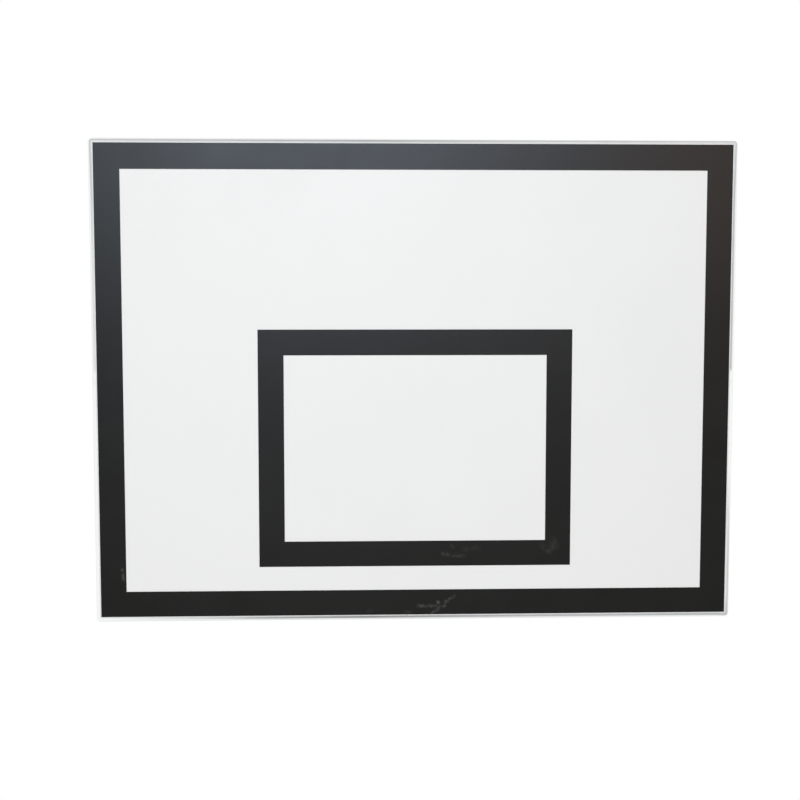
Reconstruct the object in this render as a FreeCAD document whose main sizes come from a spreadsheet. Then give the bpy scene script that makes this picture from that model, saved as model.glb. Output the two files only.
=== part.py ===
import FreeCAD, Part
import math
import os
import Sketcher

# Basketball backboard for training and school use: a plywood board with a white face, black lines and an
# aluminium edge trim, screwed from behind to a welded frame of square steel tube.
# +X runs to the right and +Z up as a player sees the board, and the face looks along -Y.
# The origin is the centre of the four mounting slots, on the rear plane that bolts to a bracket.

SIZES = (
    # The board
    ("board_width", 1200, "outside of the edge trim, left to right"),
    ("board_height", 900, "outside of the edge trim, bottom to top"),
    ("core_thickness", 17, "plywood core"),
    ("face_thickness", 1, "white laminate on the front of the core"),
    # The black lines
    ("line_width", 48, "all black lines"),
    ("line_thickness", 0.3, "black film"),
    ("line_gap", 2, "bare face between the edge trim and the border line"),
    ("target_width", 588, "outside of the target rectangle"),
    ("target_height", 447, "outside of the target rectangle"),
    ("target_rise", 102, "bottom of the target rectangle above the bottom of the board"),
    # The edge trim
    ("trim_wall", 1.5, "aluminium channel"),
    ("trim_front_lip", 6.5, "rim that shows from the front, with the wall"),
    ("trim_rear_lip", 16, "lip behind the board, with the wall"),
    ("trim_corner_radius", 7.5, "bend round the board's corners, outside"),
    ("trim_edge_radius", 2.5, "rounded outer edges of the channel"),
    ("trim_joint", 0.5, "gap between the two halves"),
    ("trim_slit", 0.6, "cut in the rear lip at each bend, along the lip"),
    # The screws
    ("trim_screw_diameter", 3.5, "thread outside"),
    ("trim_screw_length", 13, "under the head"),
    ("trim_screw_head", 7, "head diameter"),
    ("trim_screw_head_height", 2.2, "head"),
    ("panel_screw_diameter", 5, "thread outside"),
    ("panel_screw_length", 16, "under the head"),
    ("panel_screw_head", 8, "hexagon head across its flats"),
    ("panel_screw_head_height", 3, "head"),
    ("screw_fit", 0.1, "round a thread in its pilot hole"),
    ("screw_play", 0.5, "round a thread in metal"),
    ("pilot_spare", 1, "pilot hole beyond the screw's tip"),
    # The back frame
    ("frame_inset", 25, "outside of the frame from the outside of the trim"),
    ("tube_side", 30, "square tube"),
    ("tube_wall", 2, "square tube"),
    ("tube_outer_radius", 3, "square tube"),
    ("tube_inner_radius", 1, "square tube"),
    ("upright_spacing", 300, "centre to centre"),
    ("trim_clearance", 3, "ring plate and plugs above the trim's rear lip"),
    # The plugs in the uprights
    ("plug_cap", 3, "cap outside the tube"),
    ("plug_depth", 16, "stem inside the tube"),
    ("plug_wall", 2, "stem"),
    ("plug_fit", 0.2, "round the stem"),
    # The ring plate
    ("ring_plate_thickness", 8, "steel plate"),
    ("ring_plate_margin", 34, "plate above the upper ring bolts"),
    ("ring_hole_diameter", 12, "ring bolts"),
    ("ring_hole_spacing_across", 110, "ring bolts"),
    ("ring_hole_spacing_up", 90, "ring bolts"),
    ("ring_hole_rise", 35, "lower ring bolts above the bottom of the board"),
    # The mounting bars
    ("bar_end", 20, "flat bar past the ends of its slots"),
    ("bar_height", 50, "flat bar"),
    ("bar_thickness", 8, "flat bar"),
    ("bar_corner_radius", 8, "flat bar"),
    ("mount_spacing_across", 400, "slot centres"),
    ("mount_spacing_up", 400, "slot centres"),
    ("slot_width", 13, "mounting slots"),
    ("slot_length", 30, "mounting slots, end to end"),
    # Gussets and tabs
    ("tab_thickness", 4, "tabs and gussets"),
    ("gusset_leg", 85, "along each tube"),
    ("gusset_nose", 14, "cut ends of the legs"),
    ("gusset_relief", 10, "cut corner at the mitre weld"),
    ("gusset_hole", 28, "screw from each tube"),
    ("tab_width", 32, "along the tube"),
    ("tab_reach", 32, "out from the tube"),
    ("tab_hole", 18, "screw from the tube"),
    ("tab_corner_radius", 8, "free corners"),
    # Common
    ("edge_break", 0.8, "chamfer on heavy plates"),
    ("overrun", 5, "cuts past the faces that they open"),
)

doc = FreeCAD.newDocument("backboard")
sheet = doc.addObject("Spreadsheet::Sheet", "sizes")
for row, (alias, millimetres, meaning) in enumerate(SIZES, start=1):
    sheet.set(f"A{row}", meaning)
    sheet.set(f"B{row}", str(millimetres))
    sheet.setAlias(f"B{row}", alias)
doc.recompute()

# Places that several pieces share, as expressions of the sheet
BOARD_BOTTOM = "(-sizes.board_height / 2)"
CORE_HALF_WIDTH = "(sizes.board_width / 2 - sizes.trim_wall)"
CORE_HALF_HEIGHT = "(sizes.board_height / 2 - sizes.trim_wall)"
CORE_CORNER_RADIUS = "(sizes.trim_corner_radius - sizes.trim_wall)"
BOARD_THICKNESS = "(sizes.core_thickness + sizes.face_thickness)"
TUBE_BACK = "(-sizes.bar_thickness)"
CORE_BACK = "(-sizes.bar_thickness - sizes.tube_side)"
FACE_BACK = f"({CORE_BACK} - sizes.core_thickness)"
FACE_FRONT = f"({CORE_BACK} - {BOARD_THICKNESS})"
TUBE_AXIS = f"({TUBE_BACK} - sizes.tube_side / 2)"
FRAME_HALF_WIDTH = "(sizes.board_width / 2 - sizes.frame_inset)"
FRAME_HALF_HEIGHT = "(sizes.board_height / 2 - sizes.frame_inset)"
INNER_HALF_WIDTH = f"({FRAME_HALF_WIDTH} - sizes.tube_side)"
INNER_HALF_HEIGHT = f"({FRAME_HALF_HEIGHT} - sizes.tube_side)"
UPRIGHT_AXIS = "(sizes.upright_spacing / 2)"
UPRIGHT_OUTSIDE = "(sizes.upright_spacing / 2 + sizes.tube_side / 2)"
BAY_LENGTH = f"({INNER_HALF_WIDTH} - {UPRIGHT_OUTSIDE})"
BAY_CENTRE = f"(({INNER_HALF_WIDTH} + {UPRIGHT_OUTSIDE}) / 2)"
CLEAR_OF_TRIM = f"({BOARD_BOTTOM} + sizes.trim_rear_lip + sizes.trim_clearance)"
UPRIGHT_FOOT = f"({CLEAR_OF_TRIM} + sizes.plug_cap)"
TRIM_SCREW_INSET = "(sizes.trim_wall + sizes.trim_rear_lip) / 2"

X_AXIS = FreeCAD.Vector(1, 0, 0)
Y_AXIS = FreeCAD.Vector(0, 1, 0)
Z_AXIS = FreeCAD.Vector(0, 0, 1)
QUARTER_TURN = math.pi / 2

nodes = []


def value(expression):
    return float(sheet.evalExpression(expression))


# Drawing helpers

def new_body(label, across="0", depth="0", up="0", turn=0):
    """A body whose own XZ plane is the rear face of its piece, turned about the board's normal."""
    body = doc.addObject("PartDesign::Body", label)
    body.Label = label
    body.Placement.Rotation = FreeCAD.Rotation(Y_AXIS, turn)
    for axis, expression in (("x", across), ("y", depth), ("z", up)):
        body.setExpression(f"Placement.Base.{axis}", expression)
    return body


def new_sketch(body, name, role="XZ_Plane", forward="0"):
    sketch = body.newObject("Sketcher::SketchObject", name)
    plane = next(feature for feature in body.Origin.OriginFeatures if feature.Role == role)
    sketch.AttachmentSupport = (plane, [""])
    sketch.MapMode = "FlatFace"
    sketch.setExpression("AttachmentOffset.Base.z", forward)
    return sketch


def bind(sketch, constraint, expression):
    index = sketch.addConstraint(constraint)
    name = f"size{index}"
    sketch.renameConstraint(index, name)
    sketch.setExpression(f"Constraints.{name}", expression)


def pin(sketch, geometry, point, across, up):
    """Hold a point of the sketch at its signed distances from the sketch's origin."""
    for kind, axis, expression in (("DistanceX", -2, across), ("DistanceY", -1, up)):
        distance = value(expression)
        if distance == 0:
            sketch.addConstraint(Sketcher.Constraint("PointOnObject", geometry, point, axis))
        elif distance > 0:
            bind(sketch, Sketcher.Constraint(kind, -1, 1, geometry, point, distance), expression)
        else:
            flipped = Sketcher.Constraint(kind, geometry, point, -1, 1, -distance)
            bind(sketch, flipped, f"-({expression})")


def at(across, up):
    return FreeCAD.Vector(value(across), value(up), 0)


def polygon(sketch, points):
    first = sketch.GeometryCount
    count = len(points)
    for index in range(count):
        start = at(*points[index])
        end = at(*points[(index + 1) % count])
        sketch.addGeometry(Part.LineSegment(start, end))
    for index in range(count):
        following = first + (index + 1) % count
        sketch.addConstraint(Sketcher.Constraint("Coincident", first + index, 2, following, 1))
        pin(sketch, first + index, 1, *points[index])


def rectangle(sketch, left, right, bottom, top):
    polygon(sketch, [(left, bottom), (right, bottom), (right, top), (left, top)])


def centred_rectangle(sketch, half_width, half_height):
    rectangle(sketch, f"-{half_width}", half_width, f"-{half_height}", half_height)


def circle(sketch, across, up, diameter):
    radius = f"{diameter} / 2"
    outline = Part.Circle(at(across, up), Z_AXIS, value(radius))
    index = sketch.addGeometry(outline)
    bind(sketch, Sketcher.Constraint("Radius", index, value(radius)), radius)
    pin(sketch, index, 3, across, up)


def arched_rectangle(sketch, half_width, bottom, top, radius):
    """A rectangle about the sketch's vertical axis whose two upper corners are round."""
    centre = f"({half_width} - {radius})"
    shoulder = f"({top} - {radius})"
    left = sketch.addGeometry(Part.LineSegment(at(f"-{half_width}", bottom), at(f"-{half_width}", shoulder)))
    left_round = Part.Circle(at(f"-{centre}", shoulder), Z_AXIS, value(radius))
    left_bend = sketch.addGeometry(Part.ArcOfCircle(left_round, QUARTER_TURN, 2 * QUARTER_TURN))
    upper = sketch.addGeometry(Part.LineSegment(at(f"-{centre}", top), at(centre, top)))
    right_round = Part.Circle(at(centre, shoulder), Z_AXIS, value(radius))
    right_bend = sketch.addGeometry(Part.ArcOfCircle(right_round, 0, QUARTER_TURN))
    right = sketch.addGeometry(Part.LineSegment(at(half_width, shoulder), at(half_width, bottom)))
    lower = sketch.addGeometry(Part.LineSegment(at(half_width, bottom), at(f"-{half_width}", bottom)))
    sketch.addConstraint(Sketcher.Constraint("Tangent", left, 2, left_bend, 2))
    sketch.addConstraint(Sketcher.Constraint("Tangent", left_bend, 1, upper, 1))
    sketch.addConstraint(Sketcher.Constraint("Tangent", upper, 2, right_bend, 2))
    sketch.addConstraint(Sketcher.Constraint("Tangent", right_bend, 1, right, 1))
    sketch.addConstraint(Sketcher.Constraint("Coincident", right, 2, lower, 1))
    sketch.addConstraint(Sketcher.Constraint("Coincident", lower, 2, left, 1))
    sketch.addConstraint(Sketcher.Constraint("Vertical", left))
    sketch.addConstraint(Sketcher.Constraint("Vertical", right))
    pin(sketch, left, 1, f"-{half_width}", bottom)
    pin(sketch, right, 2, half_width, bottom)
    pin(sketch, left_bend, 3, f"-{centre}", shoulder)
    pin(sketch, right_bend, 3, centre, shoulder)


def slot(sketch, across, width, length):
    """A slot along the sketch's horizontal axis: two half circles joined by two straight sides."""
    radius = f"{width} / 2"
    reach = f"({length} - {width}) / 2"
    left = f"{across} - {reach}"
    right = f"{across} + {reach}"
    right_round = Part.Circle(at(right, "0"), Z_AXIS, value(radius))
    left_round = Part.Circle(at(left, "0"), Z_AXIS, value(radius))
    right_end = sketch.addGeometry(Part.ArcOfCircle(right_round, -QUARTER_TURN, QUARTER_TURN))
    left_end = sketch.addGeometry(Part.ArcOfCircle(left_round, QUARTER_TURN, 3 * QUARTER_TURN))
    upper = sketch.addGeometry(Part.LineSegment(at(right, radius), at(left, radius)))
    lower = sketch.addGeometry(Part.LineSegment(at(left, f"-{radius}"), at(right, f"-{radius}")))
    sketch.addConstraint(Sketcher.Constraint("Tangent", right_end, 2, upper, 1))
    sketch.addConstraint(Sketcher.Constraint("Tangent", upper, 2, left_end, 1))
    sketch.addConstraint(Sketcher.Constraint("Tangent", left_end, 2, lower, 1))
    sketch.addConstraint(Sketcher.Constraint("Tangent", lower, 2, right_end, 1))
    bind(sketch, Sketcher.Constraint("Radius", right_end, value(radius)), radius)
    pin(sketch, right_end, 3, right, "0")
    pin(sketch, left_end, 3, left, "0")


# Feature helpers

def pad(body, sketch, length, both_ways=False):
    feature = body.newObject("PartDesign::Pad", f"{body.Label}_pad")
    feature.Profile = sketch
    feature.setExpression("Length", length)
    if both_ways:
        feature.SideType = "Symmetric"
    doc.recompute()
    return feature


def pocket(body, sketch, length, forward=True):
    """Cut from the sketch's plane towards the front of the board, or towards its back."""
    before = body.Shape.Volume
    feature = body.newObject("PartDesign::Pocket", f"{body.Label}_pocket")
    feature.Profile = sketch
    feature.setExpression("Length", length)
    feature.Reversed = forward
    doc.recompute()
    if body.Shape.Volume >= before:
        raise RuntimeError(f"a pocket in {body.Label} cuts nothing")
    return feature


def cut_through(body, sketch):
    before = body.Shape.Volume
    feature = body.newObject("PartDesign::Pocket", f"{body.Label}_cut")
    feature.Profile = sketch
    feature.Type = "ThroughAll"
    feature.SideType = "Symmetric"
    doc.recompute()
    if body.Shape.Volume >= before:
        raise RuntimeError(f"a cut in {body.Label} cuts nothing")
    return feature


def edges_where(feature, wanted):
    return [f"Edge{index}" for index, edge in enumerate(feature.Shape.Edges, start=1) if wanted(edge)]


def runs_along(edge, direction):
    """Whether an edge is straight and parallel to a direction."""
    straight = isinstance(edge.Curve, Part.Line)
    return straight and abs(edge.Curve.Direction.dot(direction)) == 1


def lies_flat(edge):
    """Whether an edge lies in a plane square to the board's normal."""
    return edge.BoundBox.YLength < value("sizes.edge_break")


def round_edges(body, feature, wanted, radius):
    fillet = body.newObject("PartDesign::Fillet", f"{body.Label}_round")
    fillet.Base = (feature, edges_where(feature, wanted))
    fillet.setExpression("Radius", radius)
    doc.recompute()
    return fillet


def break_edges(body, feature, wanted):
    chamfer = body.newObject("PartDesign::Chamfer", f"{body.Label}_edge_break")
    chamfer.Base = (feature, edges_where(feature, wanted))
    chamfer.setExpression("Size", "sizes.edge_break")
    doc.recompute()
    return chamfer


def keep(node):
    nodes.append(node)
    return node


# Where the screws go, all from behind

TOP_SCREW_SHARES = (-0.375, -0.125, 0.125, 0.375)
SIDE_SCREW_SHARES = (0.125, 0.375)


def trim_screw_places():
    """Screws of the upper trim half, evenly spread: along the top, then up both sides."""
    along_top = []
    for width_share in TOP_SCREW_SHARES:
        across = f"{width_share} * sizes.board_width"
        along_top.append((across, f"sizes.board_height / 2 - {TRIM_SCREW_INSET}"))
    sides = []
    for side in ("-1", "1"):
        for height_share in SIDE_SCREW_SHARES:
            across = f"{side} * (sizes.board_width / 2 - {TRIM_SCREW_INSET})"
            sides.append((across, f"{height_share} * sizes.board_height"))
    return along_top + sides


def turned_over(places):
    """The same places on the lower half, which is the upper one turned upside down."""
    return [(f"-({across})", f"-({up})") for across, up in places]


UPPER_TRIM_SCREWS = trim_screw_places()
LOWER_TRIM_SCREWS = turned_over(UPPER_TRIM_SCREWS)

# Corner gussets: name, corner of the frame's inside, turn from the lower left corner
GUSSETS = (
    ("bottom_left", "-1", "-1", 0),
    ("top_left", "-1", "1", 90),
    ("top_right", "1", "1", 180),
    ("bottom_right", "1", "-1", 270),
)

# Fixing tabs, midway along their stretch of tube:
# name, foot on the tube, direction away from it, turn from pointing up
TAB_LEVEL = f"({INNER_HALF_HEIGHT} / 2)"
TABS = (
    ("top_left", f"-{BAY_CENTRE}", INNER_HALF_HEIGHT, ("0", "-1"), 180),
    ("top_centre", "0", INNER_HALF_HEIGHT, ("0", "-1"), 180),
    ("top_right", BAY_CENTRE, INNER_HALF_HEIGHT, ("0", "-1"), 180),
    ("bottom_left", f"-{BAY_CENTRE}", f"-{INNER_HALF_HEIGHT}", ("0", "1"), 0),
    ("bottom_right", BAY_CENTRE, f"-{INNER_HALF_HEIGHT}", ("0", "1"), 0),
    ("left_upper", f"-{INNER_HALF_WIDTH}", TAB_LEVEL, ("1", "0"), 90),
    ("left_lower", f"-{INNER_HALF_WIDTH}", f"-{TAB_LEVEL}", ("1", "0"), 90),
    ("right_upper", INNER_HALF_WIDTH, TAB_LEVEL, ("-1", "0"), 270),
    ("right_lower", INNER_HALF_WIDTH, f"-{TAB_LEVEL}", ("-1", "0"), 270),
)

PANEL_SCREWS = []
for name, side, level, turn in GUSSETS:
    across = f"{side} * ({INNER_HALF_WIDTH} - sizes.gusset_hole)"
    up = f"{level} * ({INNER_HALF_HEIGHT} - sizes.gusset_hole)"
    PANEL_SCREWS.append((across, up))
for name, foot_across, foot_up, direction, turn in TABS:
    across = f"{foot_across} + {direction[0]} * sizes.tab_hole"
    up = f"{foot_up} + {direction[1]} * sizes.tab_hole"
    PANEL_SCREWS.append((across, up))


# The board: plywood core with blind pilot holes behind, and the white face sheet bonded to its front

def board_sheet(label, depth, thickness):
    body = new_body(label, depth=depth)
    sketch = new_sketch(body, f"{label}_outline")
    centred_rectangle(sketch, CORE_HALF_WIDTH, CORE_HALF_HEIGHT)
    sheet_pad = pad(body, sketch, thickness)
    round_edges(body, sheet_pad, lambda edge: runs_along(edge, Y_AXIS), CORE_CORNER_RADIUS)
    return keep(body)


def pilot_holes(core, name, places, diameter, screw_length, metal):
    sketch = new_sketch(core, f"{name}_pilots")
    for across, up in places:
        circle(sketch, across, up, f"({diameter} + 2 * sizes.screw_fit)")
    pocket(core, sketch, f"{screw_length} - {metal} + sizes.pilot_spare")


board_core = board_sheet("board_core", CORE_BACK, "sizes.core_thickness")
pilot_holes(
    board_core, "trim", UPPER_TRIM_SCREWS + LOWER_TRIM_SCREWS,
    "sizes.trim_screw_diameter", "sizes.trim_screw_length", "sizes.trim_wall",
)
pilot_holes(
    board_core, "panel", PANEL_SCREWS,
    "sizes.panel_screw_diameter", "sizes.panel_screw_length", "sizes.tab_thickness",
)
board_sheet("face_sheet", FACE_BACK, "sizes.face_thickness")


# The black lines: strips of film, the long ones across, the upright ones butted between them

def film_strip(label, left, right, bottom, top):
    body = new_body(label, depth=FACE_FRONT)
    sketch = new_sketch(body, f"{label}_outline")
    rectangle(sketch, left, right, bottom, top)
    pad(body, sketch, "sizes.line_thickness")
    return keep(body)


def line_frame(name, half_width, bottom, top):
    inner = f"({half_width} - sizes.line_width)"
    inner_bottom = f"({bottom} + sizes.line_width)"
    inner_top = f"({top} - sizes.line_width)"
    film_strip(f"{name}_top", f"-{half_width}", half_width, inner_top, top)
    film_strip(f"{name}_bottom", f"-{half_width}", half_width, bottom, inner_bottom)
    film_strip(f"{name}_left", f"-{half_width}", f"-{inner}", inner_bottom, inner_top)
    film_strip(f"{name}_right", inner, half_width, inner_bottom, inner_top)


BORDER_HALF_WIDTH = "(sizes.board_width / 2 - sizes.trim_front_lip - sizes.line_gap)"
BORDER_HALF_HEIGHT = "(sizes.board_height / 2 - sizes.trim_front_lip - sizes.line_gap)"
line_frame("border_line", BORDER_HALF_WIDTH, f"(-{BORDER_HALF_HEIGHT})", BORDER_HALF_HEIGHT)
TARGET_BOTTOM = f"({BOARD_BOTTOM} + sizes.target_rise)"
TARGET_TOP = f"({TARGET_BOTTOM} + sizes.target_height)"
line_frame("target_line", "(sizes.target_width / 2)", TARGET_BOTTOM, TARGET_TOP)


# The edge trim: an aluminium channel bent round the corners, in two equal halves that meet at mid-height.
# Its narrow lip is the rim that shows in front, and its wide lip takes the screws behind.

def edge_trim(label, turn):
    depth = f"({BOARD_THICKNESS} + 2 * sizes.trim_wall)"
    body = new_body(label, depth=f"{CORE_BACK} + sizes.trim_wall", turn=turn)
    half_width = "(sizes.board_width / 2)"
    top = "(sizes.board_height / 2)"
    joint = "(sizes.trim_joint / 2)"
    below = f"({joint} - sizes.overrun)"

    outline = new_sketch(body, f"{label}_outline")
    arched_rectangle(outline, half_width, joint, top, "sizes.trim_corner_radius")
    block = pad(body, outline, depth)
    joint_level = value("sizes.trim_joint")
    is_outer_edge = lambda edge: lies_flat(edge) and edge.CenterOfMass.z > joint_level
    round_edges(body, block, is_outer_edge, "sizes.trim_edge_radius")

    channel = new_sketch(body, f"{label}_channel", forward="sizes.trim_wall")
    arched_rectangle(channel, CORE_HALF_WIDTH, below, CORE_HALF_HEIGHT, CORE_CORNER_RADIUS)
    pocket(body, channel, BOARD_THICKNESS)

    front = new_sketch(body, f"{label}_front_window", forward=depth)
    front_half = f"({half_width} - sizes.trim_front_lip)"
    rectangle(front, f"-{front_half}", front_half, below, f"({top} - sizes.trim_front_lip)")
    pocket(body, front, "2 * sizes.trim_wall", forward=False)

    rear = new_sketch(body, f"{label}_rear_window")
    rear_half = f"({half_width} - sizes.trim_rear_lip)"
    rectangle(rear, f"-{rear_half}", rear_half, below, f"({top} - sizes.trim_rear_lip)")
    pocket(body, rear, "2 * sizes.trim_wall")

    slits = new_sketch(body, f"{label}_bend_slits")
    half_slit = "sizes.trim_slit / 2"
    open_end = "(sizes.trim_rear_lip + sizes.trim_slit)"
    closed_end = "sizes.trim_corner_radius"
    for side in ("-1", "1"):
        start = f"{side} * ({half_width} - {open_end})"
        end = f"{side} * ({half_width} - {closed_end})"
        polygon(slits, [
            (f"{start} - {half_slit}", f"{top} - {open_end}"),
            (f"{start} + {half_slit}", f"{top} - {open_end}"),
            (f"{end} + {half_slit}", f"{top} - {closed_end}"),
            (f"{end} - {half_slit}", f"{top} - {closed_end}"),
        ])
    pocket(body, slits, "2 * sizes.trim_wall")

    holes = new_sketch(body, f"{label}_screw_holes")
    for across, up in UPPER_TRIM_SCREWS:
        circle(holes, across, up, "(sizes.trim_screw_diameter + 2 * sizes.screw_play)")
    pocket(body, holes, "2 * sizes.trim_wall")
    return keep(body)


edge_trim("edge_trim_upper", 0)
edge_trim("edge_trim_lower", 180)


# The back frame: square tube, mitred at the four outer corners and butted everywhere else

def tube(label, plane, length, across, up):
    body = new_body(label, across, TUBE_AXIS, up)
    sketch = new_sketch(body, f"{label}_section", plane)
    half_side = "(sizes.tube_side / 2)"
    half_bore = "(sizes.tube_side / 2 - sizes.tube_wall)"
    centred_rectangle(sketch, half_side, half_side)
    centred_rectangle(sketch, half_bore, half_bore)
    blank = pad(body, sketch, length, both_ways=True)
    run = X_AXIS if plane == "YZ_Plane" else Z_AXIS
    middle_wall = value(f"{half_side} - sizes.tube_wall / 2")

    def is_outer(edge):
        return runs_along(edge, run) and abs(edge.CenterOfMass.y) > middle_wall

    def is_inner(edge):
        return runs_along(edge, run) and abs(edge.CenterOfMass.y) < middle_wall

    rounded = round_edges(body, blank, is_outer, "sizes.tube_outer_radius")
    round_edges(body, rounded, is_inner, "sizes.tube_inner_radius")
    return keep(body)


def mitre(body, length, run, end, inner):
    """Cut one end at 45 degrees: end is the side along the run, inner the side of the shorter edge."""
    sketch = new_sketch(body, f"{body.Label}_mitre")
    tip = f"({length} / 2 + sizes.overrun)"
    heel = f"({length} / 2 - sizes.tube_side - sizes.overrun)"
    side = "(sizes.tube_side / 2 + sizes.overrun)"
    corners = [
        (f"{end} * {tip}", f"-1 * {inner} * {side}"),
        (f"{end} * {tip}", f"{inner} * {side}"),
        (f"{end} * {heel}", f"{inner} * {side}"),
    ]
    if run == "up":
        corners = [(inward, along) for along, inward in corners]
    polygon(sketch, corners)
    cut_through(body, sketch)


RAIL_AXIS = f"({FRAME_HALF_HEIGHT} - sizes.tube_side / 2)"
STILE_AXIS = f"({FRAME_HALF_WIDTH} - sizes.tube_side / 2)"
TOP_LENGTH = f"(2 * {FRAME_HALF_WIDTH})"
STILE_LENGTH = f"(2 * {FRAME_HALF_HEIGHT})"
BOTTOM_LENGTH = f"({FRAME_HALF_WIDTH} - {UPRIGHT_OUTSIDE})"
BOTTOM_CENTRE = f"(({FRAME_HALF_WIDTH} + {UPRIGHT_OUTSIDE}) / 2)"
UPRIGHT_LENGTH = f"({INNER_HALF_HEIGHT} - {UPRIGHT_FOOT})"
UPRIGHT_CENTRE = f"(({INNER_HALF_HEIGHT} + {UPRIGHT_FOOT}) / 2)"

top_rail = tube("frame_top_rail", "YZ_Plane", TOP_LENGTH, "0", RAIL_AXIS)
mitre(top_rail, TOP_LENGTH, "across", "-1", "-1")
mitre(top_rail, TOP_LENGTH, "across", "1", "-1")

for side_name, side in (("left", "-1"), ("right", "1")):
    inward = "1" if side == "-1" else "-1"

    stile = tube(f"frame_{side_name}_stile", "XY_Plane", STILE_LENGTH, f"{side} * {STILE_AXIS}", "0")
    mitre(stile, STILE_LENGTH, "up", "-1", inward)
    mitre(stile, STILE_LENGTH, "up", "1", inward)

    bottom_name = f"frame_bottom_rail_{side_name}"
    bottom_place = f"{side} * {BOTTOM_CENTRE}"
    bottom_rail = tube(bottom_name, "YZ_Plane", BOTTOM_LENGTH, bottom_place, f"-{RAIL_AXIS}")
    mitre(bottom_rail, BOTTOM_LENGTH, "across", side, "1")

    upright_place = f"{side} * {UPRIGHT_AXIS}"
    tube(f"frame_upright_{side_name}", "XY_Plane", UPRIGHT_LENGTH, upright_place, UPRIGHT_CENTRE)
    tube(f"frame_side_rail_{side_name}", "YZ_Plane", BAY_LENGTH, f"{side} * {BAY_CENTRE}", "0")


# The plugs: moulded caps pressed into the open lower ends of the uprights

def upright_plug(label, side):
    body = new_body(label, f"{side} * {UPRIGHT_AXIS}", TUBE_AXIS, UPRIGHT_FOOT)
    half_side = "(sizes.tube_side / 2)"
    half_stem = "(sizes.tube_side / 2 - sizes.tube_wall - sizes.plug_fit)"
    half_hollow = f"({half_stem} - sizes.plug_wall)"

    stem_outline = new_sketch(body, f"{label}_stem", "XY_Plane")
    centred_rectangle(stem_outline, half_stem, half_stem)
    centred_rectangle(stem_outline, half_hollow, half_hollow)
    stem = pad(body, stem_outline, "sizes.plug_depth")
    is_stem_corner = lambda edge: runs_along(edge, Z_AXIS) and abs(edge.CenterOfMass.x) > value(half_hollow)
    round_edges(body, stem, is_stem_corner, "sizes.tube_inner_radius")

    cap_outline = new_sketch(body, f"{label}_cap", "XY_Plane")
    centred_rectangle(cap_outline, half_side, half_side)
    cap = pad(body, cap_outline, "sizes.plug_cap")
    cap.Reversed = True
    doc.recompute()
    is_cap_corner = lambda edge: runs_along(edge, Z_AXIS) and edge.CenterOfMass.z < 0
    round_edges(body, cap, is_cap_corner, "sizes.tube_outer_radius")
    return keep(body)


upright_plug("upright_plug_left", "-1")
upright_plug("upright_plug_right", "1")


# The ring plate: heavy plate between the uprights, flat against the core, with the ring's four bolt holes

def ring_plate():
    label = "ring_plate"
    half_width = f"({UPRIGHT_AXIS} - sizes.tube_side / 2)"
    lower_row = f"({BOARD_BOTTOM} + sizes.ring_hole_rise)"
    top = f"({lower_row} + sizes.ring_hole_spacing_up + sizes.ring_plate_margin)"
    body = new_body(label, depth=f"{CORE_BACK} + sizes.ring_plate_thickness")
    outline = new_sketch(body, f"{label}_outline")
    rectangle(outline, f"-{half_width}", half_width, CLEAR_OF_TRIM, top)
    plate = pad(body, outline, "sizes.ring_plate_thickness")
    break_edges(body, plate, lies_flat)

    holes = new_sketch(body, f"{label}_holes")
    for side in ("-1", "1"):
        for row in ("0", "1"):
            across = f"{side} * sizes.ring_hole_spacing_across / 2"
            up = f"{lower_row} + {row} * sizes.ring_hole_spacing_up"
            circle(holes, across, up, "sizes.ring_hole_diameter")
    cut_through(body, holes)
    return keep(body)


ring_plate()


# The mounting bars: flat bars across the backs of the uprights, with a slot past each upright

def mounting_bar(label, level):
    body = new_body(label, up=f"{level} * sizes.mount_spacing_up / 2")
    outline = new_sketch(body, f"{label}_outline")
    half_length = "((sizes.mount_spacing_across + sizes.slot_length) / 2 + sizes.bar_end)"
    centred_rectangle(outline, half_length, "(sizes.bar_height / 2)")
    bar = pad(body, outline, "sizes.bar_thickness")
    rounded = round_edges(body, bar, lambda edge: runs_along(edge, Y_AXIS), "sizes.bar_corner_radius")
    break_edges(body, rounded, lies_flat)
    slots = new_sketch(body, f"{label}_slots")
    for side in ("-1", "1"):
        slot(slots, f"{side} * sizes.mount_spacing_across / 2", "sizes.slot_width", "sizes.slot_length")
    cut_through(body, slots)
    return keep(body)


mounting_bar("mounting_bar_upper", "1")
mounting_bar("mounting_bar_lower", "-1")


# Gussets and tabs: small plates welded flush with the front of the frame, each with one panel screw

def screw_hole(body, across, up):
    holes = new_sketch(body, f"{body.Label}_hole")
    circle(holes, across, up, "(sizes.panel_screw_diameter + 2 * sizes.screw_play)")
    cut_through(body, holes)


def corner_gusset(name, side, level, turn):
    label = f"corner_gusset_{name}"
    corner_across = f"{side} * {INNER_HALF_WIDTH}"
    corner_up = f"{level} * {INNER_HALF_HEIGHT}"
    body = new_body(label, corner_across, f"{CORE_BACK} + sizes.tab_thickness", corner_up, turn)
    outline = new_sketch(body, f"{label}_outline")
    polygon(outline, [
        ("sizes.gusset_relief", "0"),
        ("sizes.gusset_leg", "0"),
        ("sizes.gusset_leg", "sizes.gusset_nose"),
        ("sizes.gusset_nose", "sizes.gusset_leg"),
        ("0", "sizes.gusset_leg"),
        ("0", "sizes.gusset_relief"),
    ])
    pad(body, outline, "sizes.tab_thickness")
    screw_hole(body, "sizes.gusset_hole", "sizes.gusset_hole")
    return keep(body)


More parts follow.
